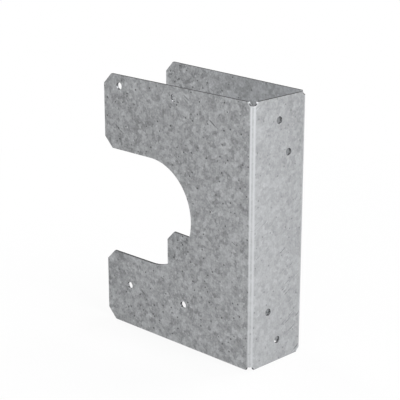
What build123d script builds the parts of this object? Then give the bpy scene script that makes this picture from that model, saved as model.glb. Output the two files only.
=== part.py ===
import math
import os

from build123d import *

# A stud shoe: one galvanised sheet, punched flat and folded into a deep channel.
# The origin is the middle of the web's inner face, where the edge of the stud sits.
# The web faces +X, the open side faces -X, and the long way up is +Z.

# Driving dimensions of the folded sheet, in millimetres and degrees
stud_room = 39.7
sheet = 1.52
height = 154.0
flange_depth = 116.5
bend_inner_radius = 0.92
flange_splay = 2.1

# Driving dimensions of the outline that is punched in each flange
corner_cut = 6.3
pipe_notch_width = 64.5
pipe_notch_centre = 38.4

# Driving dimensions of the round relief hole across each end of a bend, in the flat sheet
relief_hole_diameter = 4.0
relief_hole_from_end = 0.1

# How deep the layer that keeps its length in a bend lies, as a share of the sheet
unstretched_share = 0.4

# Driving dimensions of the nail holes
nail_hole_diameter = 4.4
end_row_from_end = 6.5
end_row_from_free_edge = 12.9
end_row_spacing = 44.5
inner_row_from_end = 25.5
inner_row_from_free_edge = 19.2
inner_row_spacing = 45.0
web_end_hole_from_end = 12.8
web_end_hole_offset = 0.7
web_inner_hole_from_end = 31.8
web_inner_hole_offset = 7.2

# How far each punch passes the sheet
punch_clearance = 1.0

# Sizes that follow from the driving dimensions
bend_outer_radius = bend_inner_radius + sheet
bend_angle = 90 - flange_splay
bend_axis_x = -bend_inner_radius
bend_axis_y = bend_inner_radius - stud_room / 2
flange_flat = flange_depth - bend_outer_radius
unstretched_radius = bend_inner_radius + unstretched_share * sheet
half_bend_flat = unstretched_radius * math.radians(bend_angle) / 2
relief_radius = relief_hole_diameter / 2
top = height / 2
relief_level = top - relief_hole_from_end


def direction(angle):
    """Unit vector in the ground plane, at an angle in degrees from +X."""
    return Vector(math.cos(math.radians(angle)), math.sin(math.radians(angle)), 0)


bend_axis = Vector(bend_axis_x, bend_axis_y, 0)
bend_middle = direction(-bend_angle / 2)
bend_across = direction(90 - bend_angle / 2)
flange_normal = direction(-bend_angle)
flange_run = direction(-bend_angle - 90)
flange_face = Plane(
    origin=bend_axis + flange_normal * bend_outer_radius,
    x_dir=flange_run,
    z_dir=-flange_normal,
)


def half_profile():
    """Section of the front half of the channel, from the middle of the web to the free edge."""
    with BuildSketch() as section:
        with BuildLine():
            outer_web = Line((sheet, 0), (sheet, bend_axis_y))
            outer_bend = JernArc(outer_web @ 1, (0, -1), bend_outer_radius, -bend_angle)
            outer_flange = Line(outer_bend @ 1, outer_bend @ 1 + flange_run * flange_flat)
            inner_web = Line((0, 0), (0, bend_axis_y))
            inner_bend = JernArc(inner_web @ 1, (0, -1), bend_inner_radius, -bend_angle)
            inner_flange = Line(inner_bend @ 1, inner_bend @ 1 + flange_run * flange_flat)
            Line(outer_flange @ 1, inner_flange @ 1)
            Line(outer_web @ 0, inner_web @ 0)
        make_face()
    return section.sketch


def channel():
    """The folded sheet before anything is punched: web, two bends and two splayed flanges."""
    half = half_profile()
    section = half + mirror(half, about=Plane.XZ)
    return Pos(0, 0, -top) * extrude(section, height)


def corner_cuts():
    """Diamonds that trim the outer corners of the flange and the mouth of the pipe notch."""
    notch_edge = pipe_notch_width / 2
    levels = (-top, -notch_edge, notch_edge, top)
    return [Pos(flange_flat, level) * RegularPolygon(corner_cut, 4) for level in levels]


def pipe_notch():
    """Slot with a round end, open at the free edge of the flange."""
    centre = flange_flat - pipe_notch_centre
    mouth = flange_flat + corner_cut
    slot = Pos((centre + mouth) / 2, 0) * Rectangle(mouth - centre, pipe_notch_width)
    return [slot, Pos(centre, 0) * Circle(pipe_notch_width / 2)]


def flange_holes():
    """Two rows of nail holes, one near the upper end and one further in from the lower end."""
    end_row = top - end_row_from_end
    inner_row = inner_row_from_end - top
    end_first = flange_flat - end_row_from_free_edge
    inner_first = flange_flat - inner_row_from_free_edge
    places = [
        (end_first, end_row),
        (end_first - end_row_spacing, end_row),
        (inner_first, inner_row),
        (inner_first - inner_row_spacing, inner_row),
    ]
    return [Pos(u, v) * Circle(nail_hole_diameter / 2) for u, v in places]


def relief_in_flat(bend_line):
    """What the relief holes at both ends take from a flat face that starts at its bend line."""
    size = relief_hole_diameter
    flat = Pos(bend_line + size / 2, 0) * Rectangle(size, height + size)
    centre = bend_line - half_bend_flat
    levels = (-relief_level, relief_level)
    return [flat & (Pos(centre, level) * Circle(relief_radius)) for level in levels]


def relief_section(distance):
    """Outline of the relief hole across the bend, on a plane at a distance from the bend's axis."""
    half_width = distance * math.tan(math.radians(bend_angle / 2))
    side_level = relief_level - math.sqrt(relief_radius**2 - half_bend_flat**2)
    plane = Plane(origin=bend_axis + bend_middle * distance, x_dir=bend_across, z_dir=bend_middle)
    with BuildSketch(plane) as section:
        with BuildLine():
            left = (-half_width, side_level)
            right = (half_width, side_level)
            ThreePointArc(left, (0, relief_level - relief_radius), right)
            Polyline(right, (half_width, top + punch_clearance), (-half_width, top + punch_clearance), left)
        make_face()
    return section.sketch


def relief_in_bend():
    """What the relief hole takes from the top of the bend, with its walls square to the curved sheet."""
    return loft([relief_section(bend_inner_radius / 2), relief_section(2 * bend_outer_radius)], ruled=True)


def flange_punch():
    """Everything that is punched out of the front flange, as one tool through the sheet."""
    outline = Sketch() + corner_cuts() + pipe_notch() + flange_holes() + relief_in_flat(0)
    tool = extrude(outline, amount=sheet + 2 * punch_clearance)
    return flange_face.offset(-punch_clearance) * tool


def web_punch():
    """The two nail holes in the upper half of the web, and its share of the front bend's relief holes."""
    web_face = Plane(origin=(-punch_clearance, 0, 0), x_dir=(0, 1, 0), z_dir=(1, 0, 0))
    places = [
        (-web_end_hole_offset, top - web_end_hole_from_end),
        (web_inner_hole_offset, top - web_inner_hole_from_end),
    ]
    holes = [Pos(u, v) * Circle(nail_hole_diameter / 2) for u, v in places]
    outline = Sketch() + holes + relief_in_flat(bend_axis_y)
    return web_face * extrude(outline, amount=sheet + 2 * punch_clearance)


def stud_shoe():
    """The channel less what is punched: half of it, then the same turned about the middle of the web."""
    relief = relief_in_bend()
    punched = flange_punch() + web_punch() + relief + mirror(relief, about=Plane.XY)
    return channel() - punched - punched.rotate(Axis.X, 180)


os.makedirs("parts", exist_ok=True)
export_step(stud_shoe(), "parts/stud_shoe.step")
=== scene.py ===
import math

import bpy
from mathutils import Matrix, Vector


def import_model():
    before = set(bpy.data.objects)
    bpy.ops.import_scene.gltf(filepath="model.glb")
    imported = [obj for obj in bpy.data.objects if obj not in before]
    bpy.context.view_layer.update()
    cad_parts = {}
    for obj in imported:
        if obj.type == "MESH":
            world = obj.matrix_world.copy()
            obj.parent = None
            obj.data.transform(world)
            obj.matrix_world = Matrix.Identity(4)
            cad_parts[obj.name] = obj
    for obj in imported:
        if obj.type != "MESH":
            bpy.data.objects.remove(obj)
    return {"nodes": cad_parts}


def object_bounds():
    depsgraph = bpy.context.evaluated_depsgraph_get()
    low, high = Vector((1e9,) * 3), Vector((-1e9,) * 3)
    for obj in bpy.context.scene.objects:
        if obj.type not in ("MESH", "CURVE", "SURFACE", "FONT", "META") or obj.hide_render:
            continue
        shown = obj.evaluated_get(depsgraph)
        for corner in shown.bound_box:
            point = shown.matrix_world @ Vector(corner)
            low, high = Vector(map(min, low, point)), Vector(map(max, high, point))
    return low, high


# The stud shoe on a pale floor. All lengths are in metres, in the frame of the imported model:
# the web faces +X, the open side -X, the front flange -Y and the rear flange +Y, and +Z is up.

# The sheet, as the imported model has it; in the flat, a bend is twice HALF_BEND_FLAT wide
SHEET = 0.00152
STUD_ROOM = 0.0397
FLANGE_SPLAY = 2.1
BEND_INNER_RADIUS = 0.00092
BEND_OUTER_RADIUS = BEND_INNER_RADIUS + SHEET
BEND_ANGLE = math.radians(90 - FLANGE_SPLAY)
BEND_AXIS_X = -BEND_INNER_RADIUS
BEND_AXIS_Y = STUD_ROOM / 2 - BEND_INNER_RADIUS
HALF_BEND_FLAT = 0.00117
HALF_HEIGHT = 0.077

# Centres of the holes: x and z on the front flange, y and z on the upper half of the web,
# and for a relief the distance from the bend's middle line in the flat sheet, and z
NAIL_HOLE_RADIUS = 0.0022
FLANGE_HOLES = ((-0.1019, 0.0705), (-0.0575, 0.0705), (-0.0956, -0.0515), (-0.0507, -0.0515))
WEB_HOLES = ((-0.0007, 0.0642), (0.0072, 0.0452))
RELIEF_HOLE_RADIUS = 0.0020
RELIEF_HOLE = (0.0, 0.0769)

# Greys of the zinc, from its darkest tone to its lightest, and the share of each primary
ZINC_DARK = 0.206
ZINC_LIGHT = 0.555
ZINC_TINT = (0.98, 1.0, 1.025)

# Scale and contrast of each size of crystal and of cloud
CRYSTALS = ((420.0, 0.44), (230.0, 0.20))
CLOUDS = ((1500.0, 0.50), (800.0, 0.8), (60.0, 0.15))
NOISE_DETAIL = 2.0

# What a noise is on average, and the tone of plain zinc
MIDDLE = 0.5

# How soft the crystals' borders are, and how far and how finely they are bent
CRYSTAL_SOFTNESS = 0.35
CRYSTAL_WARP = 0.9
CRYSTAL_WARP_SCALE = 1.2

# How the contrast changes on the web and inside the channel
WEB_CONTRAST = 0.51
INSIDE_CONTRAST = 1.5

# Where the open side and the deep inside of the channel begin
OPEN_X = -0.100
DEEP_X = -0.010

# Painted light: how far the zinc on the faces inside the channel is mixed towards white, to lift
# the shade that falls deep in the channel
INSIDE_PAINTED_LIGHT_OPEN = 0.05
INSIDE_PAINTED_LIGHT_DEEP = 0.27

# Painted light and shade: how far the tone shifts on the web beside each bend and at its top, and
# at the open side
WEB_PAINTED_SHADING_FRONT = 0.10
WEB_PAINTED_SHADING_REAR = -0.05
WEB_PAINTED_SHADING_TOP = -0.08
WEB_PAINTED_SHADING_TOP_Z = (0.020, 0.060)
FLANGE_PAINTED_SHADE_OPEN = -0.08

# Small dark pits and pale flecks: how close together, how large, how bright, and how strong
PIT_SCALE = 240.0
PIT_RADIUS = 0.00074
PIT_DARK = 0.05
PIT_SHARE = 0.78
FLECK_SCALE = 290.0
FLECK_RADIUS = 0.00085
FLECK_BRIGHT = 0.62
FLECK_SHARE = 0.45
SPECK_CORE = 0.45

# Pale rub marks and thin dark scratches, which lean one way and lie in patches:
# size of a mark, noise level at its border and in it, then the patches' scale and levels
MARK_LEAN = (math.radians(25), math.radians(33), 0.0)
SCUFFS = ((0.0067, 0.0067, 0.0007), (0.66, 0.74), 45.0, (0.50, 0.60))
SCUFF_BRIGHT = 0.75
SCUFF_SHARE = 0.4
SCRATCHES = ((0.0130, 0.0130, 0.0009), (0.34, 0.30), 30.0, (0.55, 0.61))
SCRATCH_DARK = 0.06
SCRATCH_SHARE = 0.6

# The bends' painted highlight: greys at the web's side and at the flange's, and how strong
# the strip and its two highlight lines are. Places across a bend run from -1 at the web to 1 at the
# flange.
BEND_HIGHLIGHT_WEB = 0.53
BEND_HIGHLIGHT_FLANGE = 0.74
BEND_STRIP_SHARE = 0.42
BEND_STRIP_EDGE = (0.95, 1.15)
BEND_LINE_SHARE = 0.55
BEND_LINE_RISE = (0.10, 0.45)
BEND_LINE_FALL = (0.60, 1.00)
BEND_SIDES = (-0.6, 0.6)

# What is left of the painted highlights on the strip, on the line beside the flange and on
# the reliefs' rim at the lower end of the front bend and the upper end of the rear one
BEND_STRIP_FADE = 0.55
BEND_LINE_FADE = 0.45
RELIEF_RIM_FADE = 0.2

# Cut edges and hole walls; the torn zinc in the walls has a dark and a bright grey, painted lit on
# the flanges and shaded on the web
CUT_SQUARENESS = (0.45, 0.85)
CUT_EDGE = 0.08
TORN_SCALE = 900.0
TORN_BORDER = (0.45, 0.60)
WEB_HOLE_TORN_SHADED = (0.14, 0.36)
FLANGE_HOLE_TORN_LIT = (0.10, 0.85)

# The reliefs' walls are darkest under the outer face, and carry a painted glint at their tips;
# each band is the depth under that face over which one grey gives way to the next
RELIEF_WALL = 0.26
RELIEF_WALL_OUTER = 0.03
RELIEF_WALL_BAND = (0.0005, 0.0009)
RELIEF_TIP_WALL_GLINT_FLANGE = 0.62
RELIEF_TIP_WALL_GLINT_WEB = 0.95
RELIEF_TIP_WALL_BAND = (0.0008, 0.0012)

# Painted highlights: pale rims on the sheet around the nail holes and the reliefs, and glints at
# the reliefs' tips
RIM_WIDTH = 0.0006
RIM_HIGHLIGHT = 0.62
RIM_SHARE = 0.25
RELIEF_RIM_WIDTH = 0.0010
RELIEF_RIM_HIGHLIGHT = 0.66
RELIEF_TIP_LENGTH = 0.0011
RELIEF_TIP_GLINT = 0.85

# Bump: the height that 1 stands for, and how many times that the sheet drops at a nail hole
BUMP_HEIGHT = 0.000015
RIM_DROP = 2.2

# Gloss
ROUGH_DARK = 0.50
ROUGH_LIGHT = 0.36
ROUGH_CUT = 0.75
METALLIC = 0.45
SPECULAR_LEVEL = 0.25
SPECULAR_TINT = (0.4, 0.4, 0.4, 1.0)

# The camera: its angle, and where the foot of the web's outer face lies from its axis
CAMERA_AZIMUTH = math.radians(45.80)
CAMERA_ELEVATION = math.radians(17.53)
CAMERA_DISTANCE = 0.7093
CAMERA_CLIP_START = 0.01
ANCHOR_RIGHT = 0.04316
ANCHOR_UP = -0.09170
CAMERA_LENS = 111.7
SENSOR_WIDTH = 36.0

# Lamps: name, place, size, power in watts
LAMPS = (
    ("key", (1.12, 0.0, 0.60), 0.80, 14.4),
    ("front", (0.60, -1.10, 0.60), 0.70, 1.6),
    ("fill", (0.05, -0.60, 0.60), 0.50, 0.8),
    ("left", (-0.45, -0.40, 0.75), 0.40, 1.0),
    ("inside", (-0.75, 0.05, 0.40), 0.30, 2.5),
    ("rear", (0.10, 0.65, 1.15), 0.60, 6.0),
)
WHITE = (1.0, 1.0, 1.0, 1.0)
WORLD_STRENGTH = 0.2

# The floor: its size, how far it lies under the shoe, its colour, and how much of it
# looks white near the foot and far away, where the background begins
FLOOR_SIZE = 12
FLOOR_GAP = 0.0001
FLOOR_COLOUR = (0.85, 0.85, 0.85, 1.0)
FLOOR_NEAR = 0.08
FLOOR_FAR = 0.50
FLOOR_GLOW_NEAR = 0.88
FLOOR_GLOW_FAR = 1.0


def place_camera(low):
    """The camera looks down its own axis, with the foot of the web off to one side."""
    right = Vector((math.cos(CAMERA_AZIMUTH), math.sin(CAMERA_AZIMUTH), 0))
    level = math.cos(CAMERA_ELEVATION)
    back = Vector((
        math.sin(CAMERA_AZIMUTH) * level,
        -math.cos(CAMERA_AZIMUTH) * level,
        math.sin(CAMERA_ELEVATION),
    ))
    up = back.cross(right)
    anchor = Vector((SHEET, 0, low.z))
    place = anchor - right * ANCHOR_RIGHT - up * ANCHOR_UP + back * CAMERA_DISTANCE
    camera = bpy.data.objects.new("camera", bpy.data.cameras.new("camera"))
    camera.data.lens = CAMERA_LENS
    camera.data.sensor_width = SENSOR_WIDTH
    camera.data.clip_start = CAMERA_CLIP_START
    turned = Matrix((right, up, back)).transposed().to_4x4()
    camera.matrix_world = Matrix.Translation(place) @ turned
    bpy.context.collection.objects.link(camera)
    bpy.context.scene.camera = camera


def add_lamp(name, place, size, power):
    """A square soft lamp that faces the middle of the shoe."""
    lamp = bpy.data.lights.new(name, "AREA")
    lamp.size = size
    lamp.energy = power
    lamp_object = bpy.data.objects.new(name, lamp)
    lamp_object.location = place
    lamp_object.rotation_mode = "QUATERNION"
    lamp_object.rotation_quaternion = (-Vector(place)).to_track_quat("-Z", "Y")
    bpy.context.collection.objects.link(lamp_object)


class Tree:
    """Short calls that build a node tree."""

    def __init__(self, owner):
        owner.use_nodes = True
        self.nodes = owner.node_tree.nodes
        self.links = owner.node_tree.links
        self.nodes.clear()

    def add(self, kind, inputs=None, **settings):
        """A node with its settings; an input is given a number, a colour or a socket."""
        node = self.nodes.new("ShaderNode" + kind)
        for name, value in settings.items():
            setattr(node, name, value)
        for key, value in (inputs or {}).items():
            if isinstance(value, bpy.types.NodeSocket):
                self.links.new(value, node.inputs[key])
            else:
                node.inputs[key].default_value = value
        return node

    def math(self, operation, *values, clamp=False):
        node = self.add("Math", dict(enumerate(values)), operation=operation, use_clamp=clamp)
        return node.outputs[0]

    def vector_math(self, operation, *values, output=0):
        node = self.add("VectorMath", dict(enumerate(values)), operation=operation)
        return node.outputs[output]

    def remap(self, value, low, high, to_low=0.0, to_high=1.0, smooth=False):
        node = self.add(
            "MapRange",
            {0: value, 1: low, 2: high, 3: to_low, 4: to_high},
            interpolation_type="SMOOTHSTEP" if smooth else "LINEAR",
        )
        return node.outputs[0]

    def mix_colour(self, factor, a, b):
        return self.add("Mix", {0: factor, 6: a, 7: b}, data_type="RGBA").outputs[2]

    def overlay(self, colour, value, *shares):
        """The colour with one grey laid over it, by the product of two shares."""
        return self.mix_colour(self.math("MULTIPLY", *shares), colour, grey(value))


def grey(value):
    """The slightly cool grey of zinc, at one brightness."""
    return (*(value * share for share in ZINC_TINT), 1.0)


def seen_or_mirrored(tree):
    """1 for what the camera sees, also mirrored or through glass, 0 for light on a matt surface."""
    path = tree.add("LightPath").outputs
    seen = tree.math("ADD", path["Is Camera Ray"], path["Is Glossy Ray"])
    return tree.math("ADD", seen, path["Is Transmission Ray"], clamp=True)


def world():
    """Even light from all round, white where it is seen."""
    studio = bpy.data.worlds.new("studio")
    bpy.context.scene.world = studio
    tree = Tree(studio)
    seen = seen_or_mirrored(tree)
    light = tree.add("Background", {"Color": WHITE, "Strength": WORLD_STRENGTH}).outputs[0]
    white = tree.add("Background", {"Color": WHITE, "Strength": 1.0}).outputs[0]
    mixed = tree.add("MixShader", {0: seen, 1: light, 2: white}).outputs[0]
    tree.add("OutputWorld", {"Surface": mixed})


def floor(low):
    """A pale floor under the shoe, that fades into the white background."""
    bpy.ops.mesh.primitive_plane_add(size=FLOOR_SIZE, location=(0, 0, low.z - FLOOR_GAP))
    plane = bpy.context.object
    plane.name = "floor"
    material = bpy.data.materials.new("floor")
    tree = Tree(material)
    seen = seen_or_mirrored(tree)
    matt = tree.add("BsdfDiffuse", {"Color": FLOOR_COLOUR}).outputs[0]
    glow = tree.add("Emission", {"Color": WHITE, "Strength": 1.0}).outputs[0]
    place = tree.add("TexCoord").outputs["Object"]
    away = tree.vector_math("LENGTH", place, output="Value")
    share = tree.remap(away, FLOOR_NEAR, FLOOR_FAR, FLOOR_GLOW_NEAR, FLOOR_GLOW_FAR)
    share = tree.math("MULTIPLY", seen, share)
    mixed = tree.add("MixShader", {0: share, 1: matt, 2: glow}).outputs[0]
    tree.add("OutputMaterial", {"Surface": mixed})
    plane.data.materials.append(material)


class Sheet:
    """Where a point lies on the folded sheet, as sockets that its colour and bump share."""

    def __init__(self, tree):
        coordinates = tree.add("TexCoord").outputs
        self.place = coordinates["Object"]
        self.x, self.y, self.z = tree.add("SeparateXYZ", {0: self.place}).outputs

        # The angle round the axis of the nearer bend, and the way that the sheet faces there
        across = tree.math("SUBTRACT", tree.math("ABSOLUTE", self.y), BEND_AXIS_Y)
        forward = tree.math("SUBTRACT", self.x, BEND_AXIS_X)
        angle = tree.math("ARCTAN2", across, forward)
        held = tree.math("MINIMUM", tree.math("MAXIMUM", angle, 0.0), BEND_ANGLE)
        cosine = tree.math("COSINE", held)
        sine = tree.math("SINE", held)
        facing_y = tree.math("MULTIPLY", sine, tree.math("SIGN", self.y))
        facing = tree.add("CombineXYZ", {0: cosine, 1: facing_y, 2: 0.0}).outputs[0]
        squareness = tree.vector_math("DOT_PRODUCT", coordinates["Normal"], facing, output="Value")

        # -1 to 1 across the bend, less on the web, more on a flange
        self.turn = tree.math("SUBTRACT", tree.math("DIVIDE", angle, BEND_ANGLE / 2), 1.0)

        # 1 on the web, near 0 on the flanges
        self.towards_x = cosine

        # Depth under the outer face of the sheet
        outward = tree.math("MULTIPLY_ADD", forward, cosine, tree.math("MULTIPLY", across, sine))
        self.under = tree.math("SUBTRACT", BEND_OUTER_RADIUS, outward)

        # Height, counted upward on the front half and downward on the rear half. Half a turn
        # about the middle of the web brings the shoe onto itself, so both halves read alike.
        upward = tree.math("MULTIPLY", tree.math("SIGN", self.y), -1.0)
        self.along = tree.math("MULTIPLY", self.z, upward)

        # 1 on the faces inside the channel, and 1 on cut edges and hole walls
        self.inside = tree.math("LESS_THAN", squareness, 0.0)
        off_face = tree.math("ABSOLUTE", squareness)
        self.cut = tree.remap(off_face, *CUT_SQUARENESS, 1.0, 0.0, smooth=True)


def fade(tree, sheet, least):
    """1 at the upper end of the front bend, the least at its lower end, and turned at the rear."""
    return tree.remap(sheet.along, -HALF_HEIGHT, HALF_HEIGHT, least, 1.0)


def past_hole(tree, across, up, centre, radius):
    """How far a point lies outside the edge of a hole."""
    centre_across, centre_up = centre
    off_across = tree.math("SUBTRACT", across, centre_across)
    off_up = tree.math("SUBTRACT", up, centre_up)
    off = tree.add("CombineXYZ", {0: off_across, 1: off_up}).outputs[0]
    distance = tree.vector_math("LENGTH", off, output="Value")
    return tree.math("SUBTRACT", distance, radius)


def nail_hole_rims(tree, sheet):
    """1 at the edge of each nail hole, and 0 a little way out on the sheet."""
    on_flange = tree.math("LESS_THAN", sheet.x, BEND_AXIS_X)
    on_web = tree.math("SUBTRACT", 1.0, on_flange)
    nearest = 1.0
    for centre in FLANGE_HOLES:
        past = past_hole(tree, sheet.x, sheet.along, centre, NAIL_HOLE_RADIUS)
        nearest = tree.math("MINIMUM", nearest, tree.math("ADD", past, on_web))
    across = tree.math("MULTIPLY", sheet.y, tree.math("SIGN", sheet.z))
    up = tree.math("ABSOLUTE", sheet.z)
    for centre in WEB_HOLES:
        past = past_hole(tree, across, up, centre, NAIL_HOLE_RADIUS)
        nearest = tree.math("MINIMUM", nearest, tree.math("ADD", past, on_flange))
    return tree.remap(nearest, 0.0, RIM_WIDTH, 1.0, 0.0)


def relief_rims(tree, sheet):
    """1 at the edge of each bend relief, and 0 a little way out on the sheet."""
    along_web = tree.math("SUBTRACT", BEND_AXIS_Y, tree.math("ABSOLUTE", sheet.y))
    along_flange = tree.math("SUBTRACT", BEND_AXIS_X, sheet.x)
    along_flat = tree.math("MAXIMUM", tree.math("MAXIMUM", along_web, along_flange), 0.0)
    in_bend = tree.math("MINIMUM", tree.math("ABSOLUTE", sheet.turn), 1.0)
    from_middle_line = tree.math("MULTIPLY_ADD", in_bend, HALF_BEND_FLAT, along_flat)
    up = tree.math("ABSOLUTE", sheet.z)
    past = past_hole(tree, from_middle_line, up, RELIEF_HOLE, RELIEF_HOLE_RADIUS)
    return tree.remap(past, 0.0, RELIEF_RIM_WIDTH, 1.0, 0.0)


def specks(tree, place, scale, radius):
    """1 in small spots scattered through the sheet, 0 elsewhere."""
    distance = tree.add("TexVoronoi", {"Vector": place, "Scale": scale}).outputs["Distance"]
    return tree.remap(distance, SPECK_CORE * radius * scale, radius * scale, 1.0, 0.0, smooth=True)


def noise(tree, place, scale):
    """The outputs of soft uneven noise, about 0.5 on average."""
    return tree.add("TexNoise", {"Vector": place, "Scale": scale, "Detail": NOISE_DETAIL}).outputs


def crystals(tree, place, scale):
    """A grey for each crystal of the zinc, with soft and uneven borders."""
    shift = noise(tree, place, CRYSTAL_WARP_SCALE * scale)["Color"]
    bent = tree.vector_math("MULTIPLY_ADD", shift, (CRYSTAL_WARP / scale,) * 3, place)
    cells = tree.add(
        "TexVoronoi",
        {"Vector": bent, "Scale": scale, "Smoothness": CRYSTAL_SOFTNESS},
        feature="SMOOTH_F1",
    )
    return tree.add("SeparateColor", {0: cells.outputs["Color"]}).outputs[0]


def mottle(tree, place):
    """The uneven grey of the zinc, about 0 on average: crystals under fine and broad clouds."""
    layers = [(crystals(tree, place, scale), contrast) for scale, contrast in CRYSTALS]
    layers += [(noise(tree, place, scale)["Fac"], contrast) for scale, contrast in CLOUDS]
    total = 0.0
    for layer, contrast in layers:
        total = tree.math("MULTIPLY_ADD", tree.math("SUBTRACT", layer, MIDDLE), contrast, total)
    return total


def marks(tree, place, size, levels, patch_scale, patch_levels):
    """1 in short marks that all lean one way and lie in patches, 0 elsewhere."""
    along = {"Vector": place, "Rotation": MARK_LEAN, "Scale": size}
    leaning = tree.add("Mapping", along, vector_type="TEXTURE").outputs[0]
    mark = tree.remap(noise(tree, leaning, 1.0)["Fac"], *levels, smooth=True)
    patch = tree.remap(noise(tree, place, patch_scale)["Fac"], *patch_levels, smooth=True)
    return tree.math("MULTIPLY", mark, patch)


def painted_shading(tree, sheet):
    """The slow change of tone over the web and the flanges, painted light and shade: paler on the
    web by the front bend, darker by the rear bend and at its top, and darker on the flanges towards
    the open side.
    """
    on_web = tree.remap(sheet.y, -BEND_AXIS_Y, BEND_AXIS_Y, WEB_PAINTED_SHADING_FRONT, WEB_PAINTED_SHADING_REAR)
    on_web = tree.math("ADD", on_web, tree.remap(sheet.z, *WEB_PAINTED_SHADING_TOP_Z, 0.0, WEB_PAINTED_SHADING_TOP))
    on_flange = tree.remap(sheet.x, OPEN_X, DEEP_X, FLANGE_PAINTED_SHADE_OPEN, 0.0)
    difference = tree.math("SUBTRACT", on_web, on_flange)
    return tree.math("MULTIPLY_ADD", difference, sheet.towards_x, on_flange)


def zinc(tree, sheet):
    """The mottled zinc of a face: its colour, its tone from 0 to 1, and its height for the bump."""
    web_contrast = tree.remap(sheet.towards_x, 0.0, 1.0, 1.0, WEB_CONTRAST)
    inside_contrast = tree.remap(sheet.inside, 0.0, 1.0, 1.0, INSIDE_CONTRAST)
    contrast = tree.math("MULTIPLY", web_contrast, inside_contrast)
    uneven = mottle(tree, sheet.place)
    # Painted light and shade shift the middle tone over the web and the flanges
    middle = tree.math("ADD", painted_shading(tree, sheet), MIDDLE)
    tone = tree.math("MULTIPLY_ADD", uneven, contrast, middle, clamp=True)
    colour = tree.mix_colour(tone, grey(ZINC_DARK), grey(ZINC_LIGHT))

    flecks = tree.math("MULTIPLY", specks(tree, sheet.place, FLECK_SCALE, FLECK_RADIUS), contrast)
    pits = tree.math("MULTIPLY", specks(tree, sheet.place, PIT_SCALE, PIT_RADIUS), contrast)
    colour = tree.overlay(colour, FLECK_BRIGHT, flecks, FLECK_SHARE)
    colour = tree.overlay(colour, PIT_DARK, pits, PIT_SHARE)
    colour = tree.overlay(colour, SCUFF_BRIGHT, marks(tree, sheet.place, *SCUFFS), SCUFF_SHARE)
    colour = tree.overlay(colour, SCRATCH_DARK, marks(tree, sheet.place, *SCRATCHES), SCRATCH_SHARE)
    return colour, tone, tree.math("SUBTRACT", uneven, pits)


def bend_highlight(tree, sheet, colour):
    """The pale strip along a bend, a painted highlight that is brightest in two lines.

    The strip, and most of all the line next to the flange, fades from one end to the other: the
    painted highlight is weaker at the lower end of the front bend."""
    off = tree.math("ABSOLUTE", sheet.turn)
    strip = tree.remap(off, *BEND_STRIP_EDGE, 1.0, 0.0, smooth=True)
    strip = tree.math("MULTIPLY", strip, fade(tree, sheet, BEND_STRIP_FADE))
    rise = tree.remap(off, *BEND_LINE_RISE, smooth=True)
    fall = tree.remap(off, *BEND_LINE_FALL, 1.0, 0.0, smooth=True)
    flange_side = tree.remap(sheet.turn, *BEND_SIDES)
    line_fade = tree.remap(flange_side, 0.0, 1.0, 1.0, fade(tree, sheet, BEND_LINE_FADE))
    line = tree.math("MULTIPLY", tree.math("MULTIPLY", rise, fall), line_fade)
    strip = tree.math("MULTIPLY", strip, BEND_STRIP_SHARE)
    share = tree.math("MULTIPLY_ADD", line, BEND_LINE_SHARE, strip)
    # Painted highlight: pale greys along the bend, where the lamps' reflections would lie
    bright = tree.mix_colour(flange_side, grey(BEND_HIGHLIGHT_WEB), grey(BEND_HIGHLIGHT_FLANGE))
    return tree.mix_colour(share, colour, bright)


def cut_colour(tree, sheet, hole_rim, relief_rim, tip_glints):
    """Dark cut edges, the reliefs' walls with a painted glint at their tips, and torn zinc in the
    walls of the nail holes, painted lit on the flanges and shaded on the web.
    """
    deep = tree.remap(sheet.under, *RELIEF_WALL_BAND, smooth=True)
    relief_wall = tree.mix_colour(deep, grey(RELIEF_WALL_OUTER), grey(RELIEF_WALL))
    # Painted glint on the walls at the reliefs' tips, brighter on the web's side
    shallow = tree.remap(sheet.under, *RELIEF_TIP_WALL_BAND, 1.0, 0.0, smooth=True)
    tip_wall_glint = tree.mix_colour(
        sheet.towards_x, grey(RELIEF_TIP_WALL_GLINT_FLANGE), grey(RELIEF_TIP_WALL_GLINT_WEB)
    )
    relief_wall = tree.mix_colour(tree.math("MULTIPLY", tip_glints, shallow), relief_wall, tip_wall_glint)

    torn = tree.remap(noise(tree, sheet.place, TORN_SCALE)["Fac"], *TORN_BORDER, smooth=True)
    # Painted light and shade: lit greys in the flanges' hole walls, shaded greys in the web's
    lit_flange_wall = tree.mix_colour(torn, *map(grey, FLANGE_HOLE_TORN_LIT))
    shaded_web_wall = tree.mix_colour(torn, *map(grey, WEB_HOLE_TORN_SHADED))
    hole_wall = tree.mix_colour(sheet.towards_x, lit_flange_wall, shaded_web_wall)

    colour = tree.mix_colour(relief_rim, grey(CUT_EDGE), relief_wall)
    return tree.mix_colour(hole_rim, colour, hole_wall)


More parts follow.
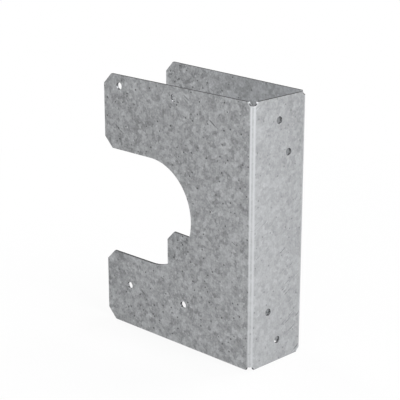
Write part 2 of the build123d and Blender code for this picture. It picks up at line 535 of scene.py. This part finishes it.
def galvanised():
    """Hot-dip galvanised sheet: mottled zinc with darker cut edges, painted highlights along the
    bends, round the holes and at the reliefs, and painted light and shade inside the channel and
    over the faces.
    """
    material = bpy.data.materials.new("galvanised_sheet")
    tree = Tree(material)
    sheet = Sheet(tree)
    colour, tone, height = zinc(tree, sheet)
    colour = bend_highlight(tree, sheet, colour)

    hole_rim = nail_hole_rims(tree, sheet)
    relief_rim = relief_rims(tree, sheet)
    # Painted highlight: a pale rim round each relief, weaker at the lower end of the front bend
    painted_relief_rim = tree.math("MULTIPLY", relief_rim, fade(tree, sheet, RELIEF_RIM_FADE))
    tip_start = HALF_HEIGHT - RELIEF_TIP_LENGTH
    tip_end = HALF_HEIGHT - RELIEF_TIP_LENGTH / 2
    # Painted glints at the reliefs' tips
    tip_glints = tree.remap(tree.math("ABSOLUTE", sheet.z), tip_start, tip_end, smooth=True)
    tip_glints = tree.math("MULTIPLY", tip_glints, painted_relief_rim)
    # Painted highlight: a pale ring round each nail hole
    colour = tree.overlay(colour, RIM_HIGHLIGHT, hole_rim, RIM_SHARE)
    colour = tree.mix_colour(painted_relief_rim, colour, grey(RELIEF_RIM_HIGHLIGHT))
    colour = tree.mix_colour(tip_glints, colour, grey(RELIEF_TIP_GLINT))

    # Painted light: the faces inside the channel are mixed towards white, most deep inside, to lift
    # the shade there
    painted_inside_light = tree.remap(sheet.x, OPEN_X, DEEP_X, INSIDE_PAINTED_LIGHT_OPEN, INSIDE_PAINTED_LIGHT_DEEP)
    colour = tree.overlay(colour, 1.0, sheet.inside, painted_inside_light)
    cut = cut_colour(tree, sheet, hole_rim, relief_rim, tip_glints)
    colour = tree.mix_colour(sheet.cut, colour, cut)

    drop = tree.math("MULTIPLY", hole_rim, hole_rim)
    height = tree.math("MULTIPLY_ADD", drop, -RIM_DROP, height)
    bump = tree.add("Bump", {"Strength": 1.0, "Distance": BUMP_HEIGHT, "Height": height})
    zinc_roughness = tree.remap(tone, 0.0, 1.0, ROUGH_DARK, ROUGH_LIGHT)
    cut_roughness = tree.math("MULTIPLY", sheet.cut, ROUGH_CUT)
    shader = tree.add(
        "BsdfPrincipled",
        {
            "Base Color": colour,
            "Metallic": METALLIC,
            "Roughness": tree.math("MAXIMUM", zinc_roughness, cut_roughness),
            "Specular IOR Level": SPECULAR_LEVEL,
            "Specular Tint": SPECULAR_TINT,
            "Normal": bump.outputs[0],
        },
    )
    tree.add("OutputMaterial", {"Surface": shader.outputs[0]})
    return material


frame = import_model()
cad_low, cad_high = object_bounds()

bpy.context.scene.view_settings.view_transform = "Standard"
place_camera(cad_low)
for settings in LAMPS:
    add_lamp(*settings)
world()
floor(cad_low)

shoe = frame["nodes"]["stud_shoe"]
shoe.data.materials.clear()
shoe.data.materials.append(galvanised())
